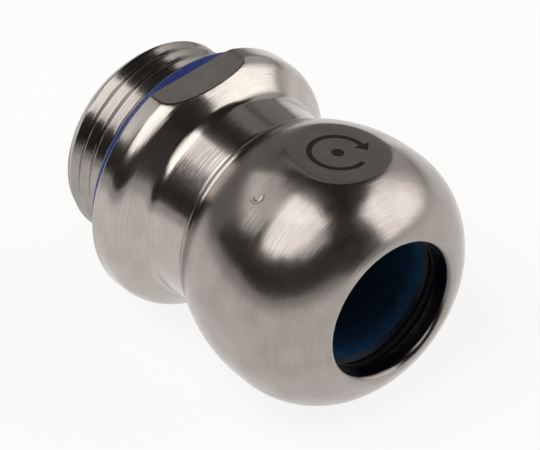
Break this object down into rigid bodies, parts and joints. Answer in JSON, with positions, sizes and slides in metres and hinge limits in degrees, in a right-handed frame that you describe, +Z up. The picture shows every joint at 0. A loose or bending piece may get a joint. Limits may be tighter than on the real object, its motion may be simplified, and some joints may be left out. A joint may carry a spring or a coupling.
{
  "type": "cable gland",
  "caption": "Hygienic metric cable gland: threaded body with a smooth flatted collar, domed compression nut, soft sealing insert and panel seal.",
  "frame": {"origin": "middle of the bounding box's footprint, on the plane that the gland lies on", "axes": "+X along the gland's axis, out of the dome nut's mouth, so the connection thread points to -X; +Z up, square to the collar's wrench flats"},
  "size_m": [0.0352, 0.0258, 0.0252],
  "materials": {
    "stainless_steel": "fine-turned satin",
    "nut_steel": "fine-turned satin, lightly scuffed",
    "seal_rubber": "matte blue elastomer",
    "insert_rubber": "smooth blue elastomer",
    "ring_polymer": "moulded satin polymer"
  },
  "bodies": {
    "body": {"gland_body": "stainless_steel", "panel_seal_ring": "seal_rubber", "neck_seal_ring": "seal_rubber"},
    "seal_pack": {"pressure_ring": "ring_polymer", "sealing_insert": "insert_rubber"},
    "nut": {"dome_nut": "nut_steel"}
  },
  "joints": [
    {"name": "nut_travel", "type": "slide", "parent": "body", "child": "seal_pack", "axis": [1, 0, 0], "range_m": [-0.00013, 0.0075]},
    {"name": "nut_turn", "type": "hinge", "parent": "seal_pack", "child": "nut", "pos_m": [0, 0, 0.0126], "axis": [1, 0, 0], "range_deg": [-30, 1800]}
  ],
  "couplings": [
    {"joint": "nut_travel", "follows": "nut_turn", "m_per_rad": 0.00023873}
  ]
}
